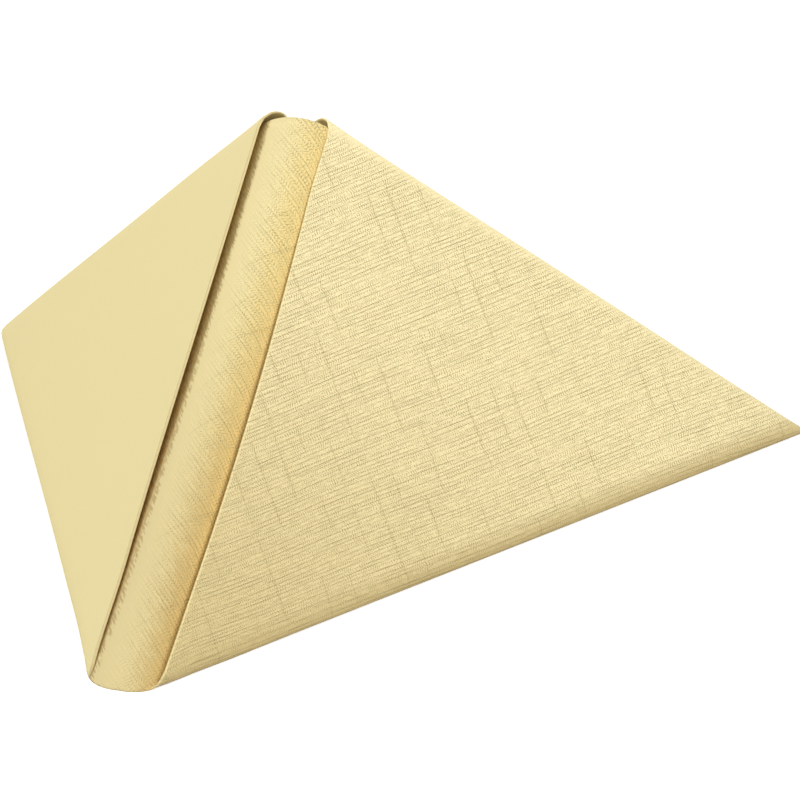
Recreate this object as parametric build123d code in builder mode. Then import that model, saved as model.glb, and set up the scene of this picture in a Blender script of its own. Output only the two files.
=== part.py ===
from build123d import *
import os
from math import cos, hypot, pi, radians, sin, sqrt, tan

# A paper napkin, folded by hand into a standing tent.
#
# The square is folded in half on its diagonal, which makes a triangle of two plies.
# Both side corners are folded up to the apex, and their closed edges stay a strip apart.
# The diamond is folded in half backwards, and the whole is bent along its middle.
# It stands on its two lower folds, with the bend as a ridge that rises to the back.
#
# Each wing holds four walls, from the outside in: front flap, front wall, back wall and
# back flap. One wall is two plies that lie pressed together, as the first fold left them.

# The sheet, in millimetres
side = 400.0            # the open square
ply = 0.25              # one thickness of the embossed paper
strip = 15.5            # flat distance between the two flaps' closed edges
strip_dip = 2.4         # how far the middle of the strip's lower end sags below its sides
corner_cut = 1.0        # what the open edges take off each side corner, along the wing
open_rise = 3.0         # how far the open edges at the back end above the lower folds

# How it is folded and bent
wing_angle = 37.2       # degrees between a wing and the plane of symmetry, across the ridge
ridge_radius = 7.7      # outer radius of the bend along the strip
front_gap = 2.3         # air between the front flap and the front wall
core_gap = 0.4          # air between the front wall and the back wall
back_gap = 0.8          # air between the back wall and the back flap
nest_gap = 0.2          # air between the inner fold and the outer fold that wraps it
bedding = 0.06          # how far the lower folds are pressed flat where they stand

# Walls and their depths below the outer face of a wing
wall = 2 * ply
front_depth = wall + front_gap
back_depth = front_depth + wall + core_gap
flap_depth = back_depth + wall + back_gap
wing_depth = flap_depth + wall

# Radii of the folds, each on its outer face
lower_radius = (front_depth + wall) / 2
top_radius = wing_depth / 2
inner_radius = (back_depth + wall - front_depth) / 2

# The bend: u runs from the ridge out along a wing, t runs up along the ridge, and n points
# out of the wing. The wings' outer faces would meet in a sharp ridge at u = 0.
turn = 90 - wing_angle
axis_depth = (ridge_radius + front_depth) / sin(radians(wing_angle))
bend_end = (ridge_radius + front_depth) / tan(radians(wing_angle))
bend_length = (ridge_radius - wall / 2) * radians(turn)
flat_to_u = bend_end - bend_length

# The folds in u and t. The lower fold runs along t = u, at 45 degrees to the ridge.
half_diagonal = side / sqrt(2)
fold_start = strip / 2 + flat_to_u
fold_ease = lower_radius * (pi / 2 - 1) / sqrt(2)
rim = fold_start + fold_ease
strip_end = fold_start - fold_ease
top = fold_start + (half_diagonal - strip / 2 + corner_cut) / 2
corner = top - corner_cut
lower_step = lower_radius * sqrt(2)

# Heights of the axes of the two top folds, the inner one nested inside the outer one
top_axis = top - top_radius
nest_room = top_radius - wall - nest_gap - inner_radius
nest_side = front_depth + inner_radius - top_radius
inner_axis = top_axis + sqrt(max(nest_room**2 - nest_side**2, 0))

# Directions: the ridge leans back so that both lower folds lie level
lean = hypot(1, cos(radians(wing_angle)))
across = Vector(1, 0, 0)
outward = Vector(0, -cos(radians(wing_angle)) / lean, 1 / lean)
upward = Vector(0, 1 / lean, cos(radians(wing_angle)) / lean)
along_wing = across * sin(radians(wing_angle)) - outward * cos(radians(wing_angle))
wing_normal = across * cos(radians(wing_angle)) + outward * sin(radians(wing_angle))
along_fold = (along_wing + upward) / sqrt(2)
off_fold = (upward - along_wing) / sqrt(2)

wing = Plane(origin=(0, 0, 0), x_dir=along_wing, z_dir=wing_normal)
fold_section = Plane(origin=(0, 0, 0), x_dir=off_fold, z_dir=along_fold)
outer_section = Plane(origin=along_wing * rim, x_dir=upward, z_dir=along_wing)
inner_section = Plane(origin=along_wing * bend_end, x_dir=upward, z_dir=along_wing)
ridge_axis = Axis(outward * -axis_depth, upward)


def half_ring(centre, radius, first):
    """The section of a fold: half a ring one wall thick, from the angle first onwards."""
    with BuildSketch() as section:
        with BuildLine():
            outer = CenterArc(centre, radius, first, 180)
            inner = CenterArc(centre, radius - wall, first, 180)
            Line(outer @ 0, inner @ 0)
            Line(outer @ 1, inner @ 1)
        make_face()
    return section.sketch


def bend_sector(radius):
    """Half of the bend's section: a sector one wall thick, from the middle to the wing."""
    with BuildSketch() as section:
        with BuildLine():
            outer = CenterArc((0, axis_depth), radius, -90, turn)
            inner = CenterArc((0, axis_depth), radius - wall, -90, turn)
            Line(outer @ 0, inner @ 0)
            Line(outer @ 1, inner @ 1)
        make_face()
    return section.sketch


# The open edges of the front walls cut off the wing's outer corner, square to the lower fold
open_edge = Plane(origin=along_wing * corner + upward * top, z_dir=along_fold)

# The lower fold and the outer top fold meet at the side corner in a mitre, which runs from the
# corner's tip to the last point where the front flap is flat
tip = along_wing * top + upward * top
flat_end = along_wing * (top_axis - lower_step) + upward * top_axis
mitre = Plane(origin=tip, x_dir=tip - flat_end, z_dir=wing_normal.cross(tip - flat_end))

# The front flap: its closed edge stands beside the strip, parallel to the ridge
with BuildPart() as front_flap:
    with BuildSketch(wing):
        with BuildLine():
            Polyline(
                (rim, rim + lower_step),
                (top_axis - lower_step, top_axis),
                (rim, top_axis),
                close=True,
            )
        make_face()
    extrude(amount=-wall)
    split(bisect_by=open_edge, keep=Keep.BOTTOM)

# The front wall carries on over the ridge as the strip, which ends below in the first fold
with BuildPart() as front_wall:
    with BuildSketch(wing.offset(-front_depth)):
        with BuildLine():
            Polyline(
                (bend_end, bend_end + lower_step),
                (inner_axis - lower_step, inner_axis),
                (bend_end, inner_axis),
                close=True,
            )
        make_face()
    extrude(amount=-wall)
    split(bisect_by=open_edge, keep=Keep.BOTTOM)

with BuildPart() as strip_half:
    strip_bottom = strip_end - strip_dip
    with BuildSketch(Plane(origin=upward * strip_bottom, x_dir=across, z_dir=upward)):
        add(bend_sector(ridge_radius))
    extrude(amount=inner_axis - strip_bottom)
    split(bisect_by=Plane(origin=upward * lower_step, z_dir=off_fold), keep=Keep.TOP)

# The lower fold joins the front flap and the front wall, and starts where the strip ends
with BuildPart() as lower_fold:
    with BuildSketch(fold_section):
        add(half_ring((lower_radius, -lower_radius), lower_radius, 90))
    extrude(amount=(corner + top) / sqrt(2))
    fold_slope = along_fold - wing_normal * (pi / 2)
    split(
        bisect_by=Plane(
            origin=along_fold * fold_start * sqrt(2) - wing_normal * lower_radius,
            z_dir=fold_slope,
        ),
        keep=Keep.TOP,
    )
    split(bisect_by=mitre, keep=Keep.BOTTOM)
    split(bisect_by=open_edge, keep=Keep.BOTTOM)

# The outer top fold joins the front flap and the back flap, open at its ridge end
with BuildPart() as outer_fold:
    with BuildSketch(outer_section):
        add(half_ring((top_axis, -top_radius), top_radius, -90))
    extrude(amount=top - rim)
    split(bisect_by=mitre, keep=Keep.TOP)
    split(bisect_by=open_edge, keep=Keep.BOTTOM)
    rise_slope = off_fold * wing_depth + wing_normal * (open_rise / sqrt(2))
    split(bisect_by=Plane(origin=(0, 0, 0), z_dir=rise_slope), keep=Keep.TOP)

# The inner top fold joins the front wall and the back wall, and goes round the ridge
inner_depth = front_depth + inner_radius
with BuildPart() as inner_fold:
    with BuildSketch(inner_section):
        add(half_ring((inner_axis, -inner_depth), inner_radius, -90))
    extrude(amount=top - bend_end)
    split(bisect_by=Plane(origin=upward * open_rise, z_dir=off_fold), keep=Keep.TOP)

round_middle = Plane(
    origin=upward * inner_axis - outward * axis_depth,
    x_dir=outward,
    z_dir=-across,
)
with BuildPart() as inner_fold_turn:
    with BuildSketch(round_middle):
        add(half_ring((ridge_radius - inner_radius, 0), inner_radius, 0))
    revolve(axis=ridge_axis, revolution_arc=turn)

# The back wall lies behind the front wall, and its open edges stop short of the lower fold
with BuildPart() as back_wall:
    with BuildSketch(wing.offset(-back_depth)):
        with BuildLine():
            Polyline(
                (bend_end, bend_end + open_rise),
                (inner_axis - open_rise, inner_axis),
                (bend_end, inner_axis),
                close=True,
            )
        make_face()
    extrude(amount=-wall)

back_radius = ridge_radius - (back_depth - front_depth)
with BuildPart() as back_tip_half:
    with BuildSketch(Plane(origin=upward * fold_start, x_dir=across, z_dir=upward)):
        add(bend_sector(back_radius))
    extrude(amount=inner_axis - fold_start)
    tip_width = back_radius * cos(radians(wing_angle))
    tip_rise = (bend_end + open_rise - fold_start) / tip_width
    split(
        bisect_by=Plane(
            origin=upward * fold_start,
            z_dir=upward - across * tip_rise,
        ),
        keep=Keep.TOP,
    )

# The back flap is the innermost wall, and its closed edge lies beside the valley
with BuildPart() as back_flap:
    with BuildSketch(wing.offset(-flap_depth)):
        with BuildLine():
            Polyline(
                (rim, rim + open_rise),
                (top_axis - open_rise, top_axis),
                (rim, top_axis),
                close=True,
            )
        make_face()
    extrude(amount=-wall)

# One wing, its mirror image, and the flats that the lower folds get from standing
with BuildPart() as folded:
    add(front_flap.part)
    add(lower_fold.part)
    add(front_wall.part)
    add(strip_half.part)
    add(inner_fold.part)
    add(inner_fold_turn.part)
    add(back_wall.part)
    add(back_tip_half.part)
    add(outer_fold.part)
    add(back_flap.part)
    mirror(about=Plane.YZ)
    lowest = folded.part.bounding_box().min.Z
    split(bisect_by=Plane.XY.offset(lowest + bedding), keep=Keep.TOP)

# The origin is the middle of the underside
box = folded.part.bounding_box()
with BuildPart() as napkin:
    add(folded.part.moved(Location((-box.center().X, -box.center().Y, -box.min.Z))))

napkin.part.label = "napkin"
os.makedirs("parts", exist_ok=True)
export_step(napkin.part, "parts/napkin.step")
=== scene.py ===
from math import cos, hypot, pi, radians, sin, sqrt, tan

import bmesh
import bpy
import numpy as np
from mathutils import Matrix, Vector


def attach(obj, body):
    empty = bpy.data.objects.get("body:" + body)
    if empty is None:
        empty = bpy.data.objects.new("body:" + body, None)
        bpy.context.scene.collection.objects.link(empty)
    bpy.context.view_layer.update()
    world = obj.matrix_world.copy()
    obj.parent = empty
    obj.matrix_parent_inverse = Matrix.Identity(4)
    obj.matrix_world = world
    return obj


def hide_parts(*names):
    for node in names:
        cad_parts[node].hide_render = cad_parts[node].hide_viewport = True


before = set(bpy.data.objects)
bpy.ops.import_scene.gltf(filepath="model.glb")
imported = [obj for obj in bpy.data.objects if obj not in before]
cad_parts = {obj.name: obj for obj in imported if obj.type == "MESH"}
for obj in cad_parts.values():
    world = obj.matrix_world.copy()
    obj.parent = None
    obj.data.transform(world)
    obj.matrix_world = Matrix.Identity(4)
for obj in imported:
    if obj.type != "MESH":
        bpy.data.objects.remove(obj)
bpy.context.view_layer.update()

# The napkin: one square of linen-embossed paper, 400 mm on a side, with no print and no hem.
# It is folded on its diagonal, its side corners are folded up to the apex, and the diamond is
# folded back in half and bent along its middle, so that it stands on its two lower folds.
side = 0.400
half_diagonal = side / sqrt(2)

# The paper. In a pair, a ply's middle lies a little more than half a ply from the pair's own.
ply = 0.00025
ply_offset = 0.53 * ply

# The flaps' closed edges stay a strip apart, and the strip is the middle of the sheet
half_strip = 0.00775

# The angle between a wing and the middle, where the ridge meets the table, and where it ends
wing_angle = radians(37.2)
ridge_foot = Vector((0, -0.10537, 0.00092))
ridge_top = 0.15276

# Depths of the middle of a pair of plies below the wing's outer face
flap_depth = 0.00025
wall_depth = 0.00305
back_wall_depth = 0.00395
back_flap_depth = 0.00525

# The bend along the ridge, round an axis that lies this far behind the wings' outer faces
face_radius = 0.0105
turn = pi / 2 - wing_angle
bend_length = (face_radius - wall_depth) * turn
bend_end = face_radius / tan(wing_angle)
axis_depth = face_radius / sin(wing_angle)
flat_to_u = bend_end - bend_length

# A wing's own directions: u runs out from the ridge, t up along it and n out of the wing
lean = hypot(1, cos(wing_angle))
outward = np.array((0, -cos(wing_angle), 1)) / lean
upward = np.array((0, 1, cos(wing_angle))) / lean

# The lower fold is a flattened roll: its reach along the wing, half of its depth and a quarter
# of its length round
lower_reach = 0.0028
lower_half_depth = (wall_depth - flap_depth) / 2
lower_quarter = pi / 2 * sqrt((lower_reach**2 + lower_half_depth**2) / 2)
crease_span = sqrt(2) * lower_quarter
crease_end = (half_diagonal - half_strip + crease_span) / 2
strip_end = flat_to_u + half_strip - sqrt(2) * (lower_quarter - lower_reach)

# The two folds at the top, one inside the other, and where they start above the strip's end
nest_height = 0.00115
outer_radius = (back_flap_depth - flap_depth) / 2
inner_radius = (back_wall_depth - wall_depth) / 2
outer_fold = ridge_top - ply - outer_radius - strip_end
inner_fold = outer_fold + nest_height


def smooth(value, start, end):
    """0 before start, 1 after end, and an even rise between them."""
    share = np.clip((value - start) / (end - start), 0, 1)
    return share * share * (3 - 2 * share)


def bell(value, span):
    """1 where the value is 0, and close to 0 where it is past twice the span."""
    return np.exp(-((value / span) ** 2))


def fade(value, span):
    """1 where the value is 0, and smaller by a like share for each span further on."""
    return np.exp(-value / span)


# Beside the strip the lower fold starts wide on the right and flat on the left, and the corner
# where it starts is rounded off. Numbers in pairs are for the left side, -1, and the right, 1.
start_span = 0.008
start_reach = {-1: 0.0004, 1: 0.0016}
start_flatness = {-1: 0.75, 1: 0.15}
corner_round = {-1: 0.0004, 1: 0.0013}
corner_span = 0.0045
corner_ease = 0.005


def folded(hand, x, y, face):
    """Where the paper lies after the first two folds. x and y run along and across the sheet's
    diagonal, and face is 1 on the half that shows on the strip, and -1 on the other half."""
    edge_angle = np.clip(y / ply_offset, 0, pi / 2)
    offset = face * ply_offset * np.sin(edge_angle)
    y = ply_offset * (1 - np.cos(edge_angle)) + np.maximum(y - ply_offset * pi / 2, 0)
    across_fold = (y - x + half_strip) / sqrt(2)
    along_fold = (x + y) / sqrt(2)
    from_start = along_fold - half_strip / sqrt(2)
    near_start = fade(np.maximum(from_start, 0), start_span)
    reach = lower_reach + start_reach[hand] * near_start
    half_depth = lower_half_depth * (1 - start_flatness[hand] * near_start)
    quarter = pi / 2 * np.sqrt((reach**2 + half_depth**2) / 2)
    roll = np.clip(across_fold / quarter, -1, 1) * pi / 2
    beyond = np.maximum(np.abs(across_fold) - quarter, 0)
    near_corner = bell(np.hypot(from_start, across_fold), corner_span)
    rounded = corner_round[hand] * near_corner * smooth(x, 0, corner_ease)
    from_crease = quarter - reach * np.cos(roll) + beyond + offset * np.cos(roll) + rounded
    wing_x = (along_fold - from_crease) / sqrt(2) + half_strip / 2
    wing_y = (along_fold + from_crease) / sqrt(2) - half_strip / 2
    depth = -wall_depth + half_depth * (1 - np.sin(roll))
    wall_share = (1 + np.sin(roll)) / 2
    return wing_x, wing_y, depth, offset * np.sin(roll), wall_share


def turned_back(wing_y, start, front, behind, offset, skew):
    """The fold at the top: paper that comes up at the depth front goes down again behind."""
    radius = (front - behind) / 2
    angle = np.clip((wing_y - start) / radius, 0, pi)
    beyond = np.maximum(wing_y - start - pi * radius, 0)
    t = np.minimum(wing_y, start) + (radius + offset) * np.sin(angle) - beyond + strip_end
    t = t + skew * (1 - np.cos(angle)) / 2
    n = behind + radius + (radius + offset) * np.cos(angle)
    return t, n


# The strip's bend is a little askew: its left side lies deeper than its right one, the more so
# above its lower end, and both sides stand out from its middle, the more so at that end.
# A zone is where on the height or on the wing a change begins and where it is complete.
strip_side = 0.008
top_zone = (0.06, 0.14)
askew_height = {-1: 0.13, 1: 0.045}
askew_at_end = 0.0002
askew_above = 0.0010
askew_at_top = 0.0004
fuller_at_end = 0.0011
less_full_above = 0.0007
strip_sink = 0.00035
strip_rise_at_top = 0.0008
tilt_span = 0.018


def strip_tilt(hand, wing_x, from_strip, height):
    """How far the strip and the walls beside it stand out of their plane."""
    above_end = smooth(height, 0, askew_height[hand])
    towards_top = smooth(height, *top_zone)
    askew = askew_at_end + askew_above * above_end + askew_at_top * towards_top
    fuller = fuller_at_end - less_full_above * above_end
    bent = np.clip(hand * wing_x / strip_side, -1, 1) * pi / 2
    tilt = askew * np.sin(bent) + fuller * (1 - np.cos(bent))
    tilt = tilt - strip_sink + strip_rise_at_top * towards_top
    return tilt * bell(from_strip, tilt_span)


# The left flap sinks and leans towards the strip, and its wing stands out at the side corner.
# The right flap's closed edge bows away from the strip, and leans to it below the top.
rim_span = 0.030
rim_height = 0.138
left_sink = 0.0012
sink_zone = (0, 0.03)
left_lean = 0.0025
lean_zone = (0.03, 0.135)
left_foot_lean = 0.0009
foot_span = 0.018
left_puff = 0.0013
puff_zone = (0.05, 0.14)
right_bow = 0.0022
right_lean = 0.0007
upright_zone = (0.12, 0.138)


def flap_moves(hand, wing_x, wing_y, height):
    """How far a flap's closed edge sinks and moves outwards, and how far its wing stands out."""
    if hand < 0:
        sink = left_sink * smooth(height, *sink_zone)
        lean = left_lean * smooth(wing_y, *lean_zone) + left_foot_lean * bell(height, foot_span)
        return sink, -lean, left_puff * smooth(wing_x, *puff_zone)
    bow = np.sin(np.clip(height / rim_height, 0, 1) * pi)
    return 0, right_bow * bow - right_lean * (1 - smooth(height, *upright_zone)), 0


# The strip's left side reaches further out at its lower end, and its wall at the top too
wider_at_end = 0.0012
wider_end_span = 0.016
wider_at_top = 0.0010
wider_zone = (0, 0.009)
wider_span = 0.030
flap_follows = 0.25


def widening(hand, wing_x, from_strip, height, wall_share):
    """How much further out than the other side the strip's left side and its flap lie."""
    at_top = wider_at_top * smooth(height, *top_zone) * wall_share
    wider = wider_at_end * bell(height, wider_end_span) + at_top
    wider = wider * smooth(wing_x, *wider_zone) * fade(from_strip, wider_span)
    return wider * (flap_follows + (1 - flap_follows) * wall_share) * (hand < 0)


def round_ridge(hand, wing_x, t, n, flap_share, wider):
    """A place on the flat wing once the napkin is bent along its middle, in metres. The flaps
    don't bend: they lie flat up to their closed edges."""
    bend = np.minimum(wing_x, bend_length) / bend_length * turn
    out = np.maximum(wing_x - bend_length, 0)
    bent_x = (face_radius + n) * np.sin(bend) + out * sin(wing_angle) + wider
    bent_o = (face_radius + n) * np.cos(bend) - out * cos(wing_angle) - axis_depth
    u = wing_x + flat_to_u
    flat_x = u * sin(wing_angle) + n * cos(wing_angle) + wider
    flat_o = -u * cos(wing_angle) + n * sin(wing_angle)
    flat = flap_share * (wing_x < bend_length)
    place_x = bent_x + (flat_x - bent_x) * flat
    place_o = bent_o + (flat_o - bent_o) * flat
    place_y = place_o * outward[1] + t * upward[1]
    place_z = place_o * outward[2] + t * upward[2]
    return np.stack([hand * place_x, place_y, place_z], -1) + np.array(ridge_foot)


# At the top the flaps' closed ends flare to the back, where their fold is higher than in front,
# and the right flap's fold is a little higher than the left one's
flare_span = 0.012
flare_depth = {-1: 0.0012, 1: 0.0030}
skew_height = {-1: 0.0026, 1: 0.0022}
rim_drop = 0.0001
flap_lift = {-1: 0, 1: 0.0005}
lift_zone = (0.05, 0.13)
inner_room = 0.0003

# The middle of the strip's lower end sags and rests on the table
sag = 0.0028
sag_out = 0.0006
sag_span = 0.012
sag_zone = (0.002, 0.015)


def stood(hand, x, y, face):
    """A point of the flat sheet on the standing napkin, in metres. hand is -1 left, 1 right."""
    wing_x, wing_y, depth, offset, wall_share = folded(hand, x, y, face)
    flap_share = 1 - wall_share
    height = np.minimum(wing_y, 2 * inner_fold - wing_y)
    from_strip = np.maximum(wing_x - strip_side, 0)
    tilt = strip_tilt(hand, wing_x, from_strip, height)
    from_rim = np.maximum(wing_x - half_strip, 0)
    wide_rim = bell(from_rim, rim_span) * flap_share
    near_rim = fade(from_rim, flare_span) * flap_share
    sink, shift, puff = flap_moves(hand, wing_x, wing_y, height)
    wing_x = wing_x + shift * wide_rim
    wider = widening(hand, wing_x, from_strip, height, wall_share)

    # The folds at the top, and the sag of the strip's lower end
    lift = flap_lift[hand] * (1 - smooth(from_rim, *lift_zone)) * flap_share - rim_drop * near_rim
    front = depth + tilt * wall_share - sink * wide_rim
    behind = -back_flap_depth + (back_flap_depth - back_wall_depth) * wall_share
    behind = behind + np.where(wall_share > 0.5, tilt, np.minimum(tilt, 0))
    behind = behind - flare_depth[hand] * near_rim
    start = outer_fold + (inner_fold + inner_room - outer_fold) * wall_share + lift
    start = start - ((front - behind) / 2 - outer_radius) * flap_share / 2
    t, n = turned_back(wing_y, start, front, behind, offset, skew_height[hand] * near_rim)
    sagging = bell(wing_y, sag_span) * (1 - smooth(wing_x, *sag_zone))
    t = t - sag * sagging
    n = n + puff + sag_out * sagging
    place = round_ridge(hand, wing_x, t, n, flap_share, wider)

    # What would reach below the table bends back along it
    below = np.maximum(ply / 2 - place[..., 2], 0)
    place[..., 1] += below
    place[..., 2] += below
    return place


# Rows of the mesh lie level on the folded wing, close together at the folds. The first ones
# follow the sheet's own closed edge, and the last ones its tip, where a row is next to nothing.
edge_steps = np.array((0, 0.00006, 0.00013, 0.00022, 0.0006, 0.0013, 0.0022, 0.0034))
tight_edge_steps = edge_steps[:5]
past_edge = 0.0052
past_inner_fold = inner_fold + pi * inner_radius + 0.0004
past_outer_fold = outer_fold + 0.0098
tip_start = half_diagonal - half_strip
before_tip = 0.001
front_rows = 56
inner_fold_rows = 10
round_outer_fold = np.linspace(0.42, 1.05, 7)
back_rows = 36
tip_rows = 5
rows = np.concatenate([
    edge_steps,
    np.linspace(past_edge, crease_end, front_rows),
    crease_end + np.linspace(0, past_inner_fold - crease_end, inner_fold_rows)[1:],
    outer_fold + pi * outer_radius * round_outer_fold,
    np.linspace(past_outer_fold, tip_start - before_tip, back_rows),
    np.linspace(tip_start, half_diagonal, tip_rows),
])
rows = np.unique(np.round(rows, 7))

# Points along a row: on the bend, on the wall, on the flap and round the lower fold
bend_points = 7
wall_points = 27
flap_points = 28
crease_steps = np.linspace(0, 1, 9)[1:-1]
rounding = 1e-9


def wall_row(y):
    """The places of a row from the strip's middle to the crease, or to the open edge."""
    end = min(y + half_strip - crease_span, half_diagonal - y)
    bend = min(end, bend_length)
    return [*np.linspace(0, bend, bend_points), *np.linspace(bend, end, wall_points)[1:]]


def flap_row(y):
    """The places of a row on the flap, from the crease or the open edge to the closed edge."""
    start = max(min(y - crease_span, half_diagonal - (y + half_strip)), 0)
    above_edge = np.linspace(start, tight_edge_steps[-1], flap_points)
    return np.minimum([*above_edge, *tight_edge_steps[-2::-1]], start)


def sheet_grid(hand, face):
    """Points and faces of a quarter of the sheet: what one hand has of one half."""
    points, quads = [], []
    previous = None
    for y in rows:
        wall_x = wall_row(y)
        flap_y = flap_row(y)
        end = wall_x[-1]
        has_crease = y <= crease_end + rounding
        line = [(x, y) for x in wall_x]
        if has_crease:
            drop = min(crease_span, y)
            line += [(end + share * drop, y - share * drop) for share in crease_steps]
            line += [(end + drop, min(place, y - drop)) for place in flap_y]
        else:
            line += [(end, y)] * len(crease_steps)
            if y + half_strip < half_diagonal:
                line += [(y + half_strip, place) for place in flap_y]
            else:
                line += [(half_diagonal, 0)] * len(flap_y)
        first = len(points)
        points += line
        if previous is not None:
            wall_faces = len(wall_x) - 1
            flap_faces = wall_faces + len(crease_steps) + 1
            for i in range(len(line) - 1):
                if has_crease or i < wall_faces or i >= flap_faces:
                    quads.append((previous + i, previous + i + 1, first + i + 1, first + i))
        previous = first
    if hand * face < 0:
        quads = [quad[::-1] for quad in quads]
    return np.array(points), quads


places, sheet_uv, faces = [], [], []
for hand in (1, -1):
    for face in (1, -1):
        points, quads = sheet_grid(hand, face)
        first = sum(len(quarter) for quarter in places)
        faces += [tuple(first + i for i in quad) for quad in quads]
        places.append(stood(hand, points[:, 0], points[:, 1], face))
        x, y = hand * points[:, 0], face * points[:, 1]
        sheet_uv.append(np.stack([(x + y) / sqrt(2), (y - x) / sqrt(2)], -1) + side / 2)
mesh = bpy.data.meshes.new("napkin_sheet")
mesh.from_pydata(np.concatenate(places).tolist(), [], faces)
layer = mesh.uv_layers.new(name="sheet")
corner_points = np.zeros(len(mesh.loops), int)
mesh.loops.foreach_get("vertex_index", corner_points)
corner_uv = np.concatenate(sheet_uv)[corner_points]
layer.data.foreach_set("uv", corner_uv.astype(np.float32).ravel())

# The quarters are joined into one sheet, which then gets the paper's thickness
same_place = 0.00001
work = bmesh.new()
work.from_mesh(mesh)
bmesh.ops.remove_doubles(work, verts=work.verts, dist=same_place)
bmesh.ops.dissolve_degenerate(work, edges=work.edges, dist=same_place)
for sheet_face in work.faces:
    sheet_face.smooth = True
work.to_mesh(mesh)
work.free()
napkin = bpy.data.objects.new("napkin_paper_sheet", mesh)
bpy.context.scene.collection.objects.link(napkin)
thickness = napkin.modifiers.new("paper", "SOLIDIFY")
thickness.thickness = ply
thickness.offset = 0


class Value:
    """A node's output that takes part in sums as a number does."""

    def __init__(self, tree, socket):
        self.tree = tree
        self.socket = socket

    def node(self, kind, settings=None, **sockets):
        """A new node: its settings come first, and then the values or links of its sockets."""
        made = self.tree.nodes.new(kind)
        for name, value in (settings or {}).items():
            setattr(made, name, value)
        for name, value in sockets.items():
            numbered = name.startswith("input")
            socket = made.inputs[int(name[5:]) if numbered else name.replace("_", " ")]
            if isinstance(value, Value):
                self.tree.links.new(value.socket, socket)
            else:
                socket.default_value = value
        return made

    def take(self, kind, settings=None, output=0, **sockets):
        """The chosen output of a new node."""
        return Value(self.tree, self.node(kind, settings, **sockets).outputs[output])

    def maths(self, operation, first, second=0.0):
        """What a Math node makes of one or two values or numbers."""
        settings = {"operation": operation}
        return self.take("ShaderNodeMath", settings, input0=first, input1=second)

    def sine(self):
        return self.maths("SINE", self)

    def __abs__(self):
        return self.maths("ABSOLUTE", self)

    def __add__(self, other):
        return self.maths("ADD", self, other)

    def __sub__(self, other):
        return self.maths("SUBTRACT", self, other)

    def __rsub__(self, other):
        return self.maths("SUBTRACT", other, self)

    def __mul__(self, other):
        return self.maths("MULTIPLY", self, other)

    def __truediv__(self, other):
        return self.maths("DIVIDE", self, other)


def empty_material(name):
    """A material without nodes, and the value from which its first nodes are made."""
    made = bpy.data.materials.new(name)
    made.use_nodes = True
    made.node_tree.nodes.clear()
    return made, Value(made.node_tree, None)


def in_millimetres(vector):
    """The first two parts of a vector, from metres."""
    parts = vector.node("ShaderNodeSeparateXYZ", input0=vector).outputs
    return [Value(vector.tree, part) * 1000 for part in parts[:2]]


def noise(u, v, across, along, detail=0.0):
    """Smooth noise from 0 to 1, whose grains are across by along millimetres."""
    place = u.take("ShaderNodeCombineXYZ", input0=u / across, input1=v / along)
    flat = {"noise_dimensions": "2D"}
    return u.take("ShaderNodeTexNoise", flat, Vector=place, Scale=1.0, Detail=detail, Roughness=0.5)


def rise(value, low, high):
    """0 at low, 1 at high, and an even rise between them. Low may be the greater one."""
    settings = {"interpolation_type": "SMOOTHSTEP"}
    return value.take("ShaderNodeMapRange", settings, Value=value, From_Min=low, From_Max=high)


def ribs(across, spacing, low, high=0.98):
    """1 in grooves at a spacing in millimetres, which are narrower where low is nearer to 1."""
    return rise((across * (2 * pi / spacing)).sine(), low, high)


def mixed(share, first, second):
    """A colour between two others."""
    settings = {"data_type": "RGBA"}
    colours = {"input6": first, "input7": second}
    return share.take("ShaderNodeMix", settings, output=2, Factor=share, **colours)


# Places on the flat sheet, in millimetres. A zone is where a change begins and is complete.
# The walls, with the strip, are one part of each ply. The flaps are the other, past the fold.
crease_zone = (-0.5, 0.5)
strip_zone = (16.0, 13.0)
left_zone = (0.0, -1.0)
right_zone = (0.0, 1.0)
strip_edge = half_strip * 1000
paper, maker = empty_material("linen_embossed_paper")
u, v = in_millimetres(maker.take("ShaderNodeUVMap", {"uv_map": "sheet"}))
from_middle = (u - v) / sqrt(2)
across_sheet = (u + v - side * 1000) / sqrt(2)
off_middle = abs(from_middle)
up_wing = off_middle - strip_edge
across_flap = (abs(across_sheet) - off_middle + strip_edge) / sqrt(2)
on_wall = rise(across_flap, *crease_zone)
on_strip = rise(off_middle, *strip_zone) * on_wall
left_wing = rise(from_middle, *left_zone) * (1 - on_wall)
right_wing = rise(from_middle, *right_zone) * (1 - on_wall)

# The linen pattern: long threads run along one side of the sheet, and waver. They swing about
# 0, as the ties do, so that they don't darken the paper where they are strong. A number added
# to u or v takes the noise from elsewhere, so that no two patterns lie alike.
sway_width = 1.5
thread_spacing = 0.84
thread_mean = 0.17
thread_waver = 0.7
thread_patch_zone = (0.34, 0.68)
weak_threads = 0.38
strong_threads = 0.88
sway = noise(u, v, across=60.0, along=60.0) * sway_width
waver = noise(u, v, across=2.4, along=60.0) * thread_waver
threads = ribs(u + sway + waver, thread_spacing, low=0.60) - thread_mean
patches = rise(noise(u + 40.0, v, across=0.50, along=12.0, detail=1.0), *thread_patch_zone)
long_ones = threads * (patches * (strong_threads - weak_threads) + weak_threads)

# Short ties lie between the threads like the rungs of a ladder, in patches
tie_spacing = 0.64
tie_mean = 0.35
tie_waver = 1.4
tie_patch_zone = (0.36, 0.58)
waver = noise(u + 80.0, v, across=0.60, along=7.0) * tie_waver
ties = ribs(v + sway + waver, tie_spacing, low=0.0) - tie_mean
short_ones = ties * rise(noise(u + 90.0, v, across=0.7, along=2.4, detail=1.0), *tie_patch_zone)

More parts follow.
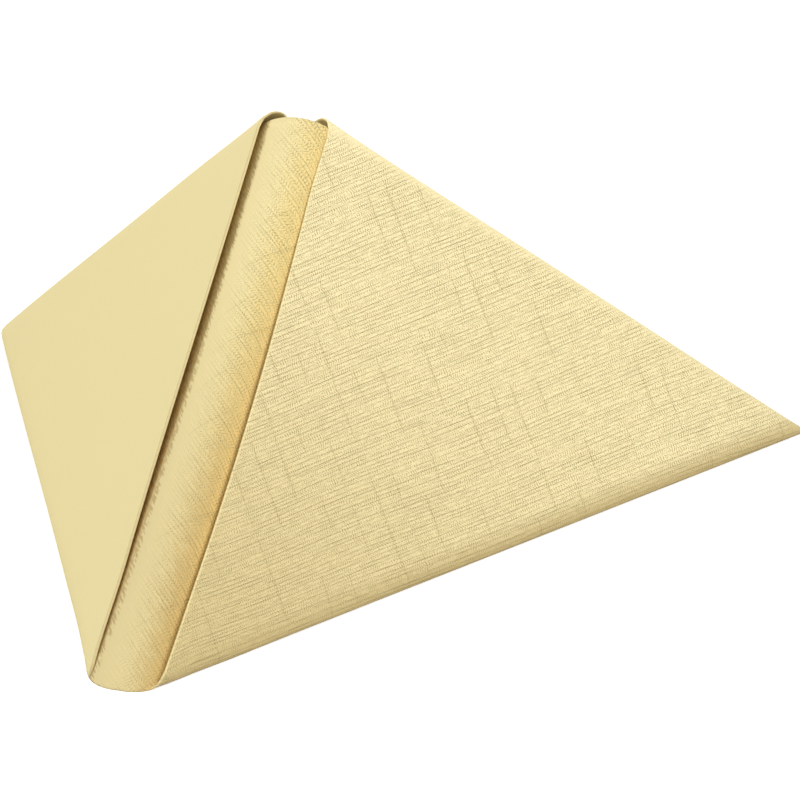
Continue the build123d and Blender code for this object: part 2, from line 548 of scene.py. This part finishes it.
# A fine grain, single deep streaks along the threads, and slubs: thicker threads across them
streak_zone = (0.70, 0.80)
slub_spacing = 6.8
slub_waver = 4.5
slub_patch_zone = (0.48, 0.62)
grain = noise(u, v + 50.0, across=0.30, along=0.45) - 0.5
streaks = rise(noise(u + 20.0, v, across=0.32, along=24.0), *streak_zone)
waver = noise(u, v + 30.0, across=120.0, along=9.0) * slub_waver
slubs = ribs(v + waver, slub_spacing, low=0.955)
slubs = slubs * rise(noise(u, v + 60.0, across=16.0, along=2.0), *slub_patch_zone)


def woven(threads, ties, grains, slub_lines, deep_streaks):
    """The parts of the pattern laid over one another, each by the share that is given."""
    weave = long_ones * threads + short_ones * ties + grain * grains
    return weave + slubs * slub_lines + streaks * deep_streaks


# The pattern shows most on the right wing, and hardly on the left, which faces the light. On
# the strip it grows from left to right, and the fold at the top has pressed it flatter.
emboss_zone = (-4.5, 5.5)
strip_strength = 0.80
least_strength = 0.05
left_strength = 0.06
top_edge_zone = (135.5, 139.0)
pressed_flat = 0.7
pattern_shade_level = 0.16
on_strip_strength = rise(from_middle, *emboss_zone) * strip_strength + least_strength
strength = on_strip_strength * on_wall + right_wing + left_wing * left_strength
strength = strength * (1 - rise(up_wing, *top_edge_zone) * pressed_flat)
relief = woven(threads=0.55, ties=0.20, grains=0.20, slub_lines=0.30, deep_streaks=0.15) * strength
# The pattern's colour is painted shade, darker in its grooves
pattern_shade = woven(threads=0.62, ties=1.15, grains=1.00, slub_lines=0.26, deep_streaks=0.14) + pattern_shade_level

# The paper's own colour, with painted light and shade: the right flap is painted paler higher up,
# and darker at its foot along the lower fold, and the strip darker lower down
paper_colour = (0.810, 0.696, 0.362, 1)
painted_lit_colour = (0.930, 0.805, 0.465, 1)
painted_dim_colour = (0.710, 0.575, 0.285, 1)
painted_shade_colour = (0.590, 0.465, 0.220, 1)
painted_light_zone = (0.0, 125.0)
low_band_zone = (-6.5, -0.5)
low_strip_zone = (120.0, 25.0)
low_strip_shade_share = 0.42
low_band_shade = rise(across_flap, *low_band_zone) * right_wing
low_strip = rise(across_sheet, *low_strip_zone) * on_wall
# Painted light: the right flap is paler higher up and duller lower down
flap_painted_light = mixed(rise(up_wing, *painted_light_zone), painted_dim_colour, painted_lit_colour)
colour = mixed(right_wing, paper_colour, flap_painted_light)
# Painted shade: darker along the right flap's lower fold and lower down the strip
colour = mixed(low_band_shade + low_strip * low_strip_shade_share, colour, painted_shade_colour)

# Beside the right flap the strip is painted golden, and orange at the flap's edge: painted light
# that bounces between the folds, as on such paper. The colours end in a hatch of fine lines along
# the threads.
bounce_light_colour = (0.860, 0.655, 0.255, 1)
low_bounce_light_colour = (0.650, 0.440, 0.155, 1)
bounce_light_edge_colour = (0.890, 0.615, 0.215, 1)
gold_zone = (0.8, 7.2)
gold_hatch = 3.6
gold_share = 0.85
orange_zone = (6.2, 8.8)
orange_hatch = 2.0
orange_share = 0.36
more_orange_low = 0.4
hatch = noise(u, v, across=0.55, along=3.0, detail=1.0)
bounce_light = rise(from_middle + (hatch - 0.5) * gold_hatch, *gold_zone) * on_strip
bounce_light_edge = rise(from_middle + (hatch - 0.5) * orange_hatch, *orange_zone) * on_strip
# Painted bounced light: gold beside the right flap, orange at its edge
colour = mixed(bounce_light * gold_share, colour, mixed(low_strip, bounce_light_colour, low_bounce_light_colour))
colour = mixed(bounce_light_edge * (low_strip * more_orange_low + orange_share), colour, bounce_light_edge_colour)

# The pattern's grooves get painted shade, darker than the paper between them, and the whole is a
# little uneven in colour
pattern_shade_and_mottle_colour = (0.480, 0.370, 0.150, 1)
unevenness = 0.02
cloud = noise(u, v, across=9.0, along=9.0, detail=3.0)
colour = mixed(pattern_shade * strength + (cloud - 0.5) * unevenness, colour, pattern_shade_and_mottle_colour)

# The shade beside the left flap is brown at its rim and warm further in, with a clear hatch,
# and narrower lower down
shade_colour = (0.460, 0.330, 0.140, 1)
warm_shade_colour = (0.860, 0.600, 0.265, 1)
hatch_colour = (0.680, 0.430, 0.150, 1)
shade_zone = (-4.4, -5.5)
warm_zone = (-5.8, -7.4)
hatch_zone = (0.43, 0.57)
shade_hatch = 1.2
narrower_low = 0.9
shade_share = 0.32
more_in_hatch = 0.3
more_shade_low = 0.2
hatching = rise(hatch, *hatch_zone)
beside_flap = from_middle + low_strip * narrower_low
shade = rise(beside_flap - (hatching - 0.5) * shade_hatch, *shade_zone) * on_strip
shade = shade * (hatching * more_in_hatch + low_strip * more_shade_low + shade_share)
inner_shade = mixed(hatching, warm_shade_colour, hatch_colour)
colour = mixed(shade, colour, mixed(rise(beside_flap, *warm_zone), shade_colour, inner_shade))

# The flaps' closed edges: the left one gets painted shade, a little deeper in colour, and the right
# one a pale painted highlight
rim_highlight_colour = (0.960, 0.820, 0.430, 1)
left_rim_zone = (-1.0, -0.4)
right_rim_zone = (-0.40, -0.10)
rim_share = 0.6
left_rim_shade = rise(across_sheet, *left_rim_zone) * left_wing
right_rim_highlight = rise(across_sheet, *right_rim_zone) * right_wing
colour = mixed(left_rim_shade * rim_share, colour, painted_shade_colour)
colour = mixed(right_rim_highlight * rim_share, colour, rim_highlight_colour)

groove_depth = 0.00026
inward = {"invert": True}
bump = maker.take("ShaderNodeBump", inward, Strength=1.0, Distance=groove_depth, Height=relief)
surface = maker.take(
    "ShaderNodeBsdfPrincipled",
    Base_Color=colour,
    Roughness=0.9,
    Specular_IOR_Level=0.2,
    Normal=bump,
)
maker.node("ShaderNodeOutputMaterial", Surface=surface)
napkin.data.materials.append(paper)

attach(napkin, "root")
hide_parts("napkin")

# The floor is a plain white board, larger than the view. It isn't part of the napkin. It takes
# the napkin's shadow, and only the camera sees the glow that makes it white.
floor_size = 8.0
floor_colour = (0.72, 0.72, 0.72, 1)
floor_glow = 0.6
bpy.ops.mesh.primitive_plane_add(size=floor_size)
floor = bpy.context.object
floor.name = "floor"
board, maker = empty_material("white_board")
seen = maker.take("ShaderNodeLightPath")
lit = maker.take("ShaderNodeBsdfDiffuse", Color=floor_colour)
glow = maker.take("ShaderNodeEmission", Strength=seen * floor_glow)
surface = maker.take("ShaderNodeAddShader", input0=lit, input1=glow)
maker.node("ShaderNodeOutputMaterial", Surface=surface)
floor.data.materials.append(board)

# The light is soft and comes from all round: a white world, and three square lamps that shine
# on the napkin's middle from the front left, from the front right and from above
world_strength = 0.36
napkin_middle = Vector((0, 0, 0.04))
world = bpy.data.worlds.new("studio")
bpy.context.scene.world = world
world.use_nodes = True
world_light = world.node_tree.nodes["Background"]
world_light.inputs["Color"].default_value = (1, 1, 1, 1)
world_light.inputs["Strength"].default_value = world_strength


def soft_lamp(name, towards, distance, size, power):
    """A square lamp that shines at the napkin from the given side."""
    data = bpy.data.lights.new(name, "AREA")
    data.shape = "SQUARE"
    data.size = size
    data.energy = power
    lamp = bpy.data.objects.new(name, data)
    way = Vector(towards).normalized()
    lamp.location = napkin_middle + way * distance
    lamp.rotation_euler = way.to_track_quat("Z", "Y").to_euler()
    bpy.context.scene.collection.objects.link(lamp)


soft_lamp("key_lamp", towards=(-0.82, -0.35, 0.47), distance=1.2, size=0.6, power=6.6)
soft_lamp("fill_lamp", towards=(0.82, -0.38, 0.42), distance=1.0, size=0.7, power=5.7)
soft_lamp("overhead_lamp", towards=(0.05, 0.18, 0.95), distance=0.55, size=0.5, power=1.5)

# The camera looks from the front right, a little from above, through a long lens. The ridge's
# top lies to the left of the picture's middle and above it.
view_side = radians(19.74)
view_rise = radians(21.99)
view_roll = radians(-0.71)
camera_distance = 6.0
picture_pixels = 800
pixels_in_a_metre = 4736
picture_width = picture_pixels / pixels_in_a_metre
top_to_middle_right = 0.02530
top_to_middle_down = 0.06572
sensor = 36.0
far_limit = 50
back = Vector((sin(view_side) * cos(view_rise), -cos(view_side) * cos(view_rise), sin(view_rise)))
right = Vector((cos(view_side), sin(view_side), 0))
up = back.cross(right)
rolled_right = right * cos(view_roll) + up * sin(view_roll)
rolled_up = up * cos(view_roll) - right * sin(view_roll)
top_of_ridge = ridge_foot + Vector(upward) * ridge_top
middle = top_of_ridge + rolled_right * top_to_middle_right - rolled_up * top_to_middle_down
camera_data = bpy.data.cameras.new("camera")
camera_data.sensor_width = sensor
camera_data.lens = sensor * camera_distance / picture_width
camera_data.clip_end = far_limit
camera = bpy.data.objects.new("camera", camera_data)
turned = Matrix((rolled_right, rolled_up, back)).transposed()
camera.matrix_world = Matrix.Translation(middle + back * camera_distance) @ turned.to_4x4()
bpy.context.scene.collection.objects.link(camera)
bpy.context.scene.camera = camera
bpy.context.scene.view_settings.view_transform = "Standard"
